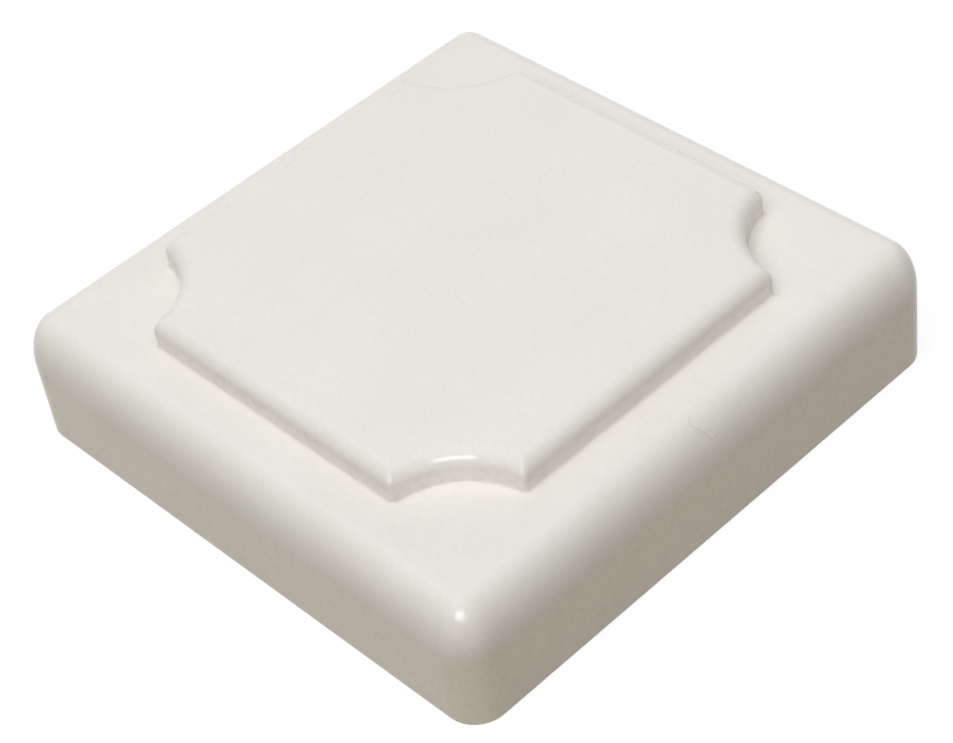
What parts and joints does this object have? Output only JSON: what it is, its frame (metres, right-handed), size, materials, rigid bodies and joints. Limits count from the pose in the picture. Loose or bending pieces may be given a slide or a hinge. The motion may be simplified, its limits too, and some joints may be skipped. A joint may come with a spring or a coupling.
{
  "type": "door casing rosette",
  "caption": "Square rosette block with a stepped ledge and a raised panel with scooped corners, set where door casings meet.",
  "frame": {"origin": "centre of the flat back face", "axes": "+Z out of the wall, from the flat back towards the raised panel; +X and +Y square to the flat sides"},
  "size_m": [0.08, 0.08, 0.0221],
  "materials": {
    "painted_block": "smooth semi-gloss cream-white paint over a wood-based core"
  },
  "bodies": {
    "root": {"rosette_block": "painted_block"}
  },
  "joints": []
}
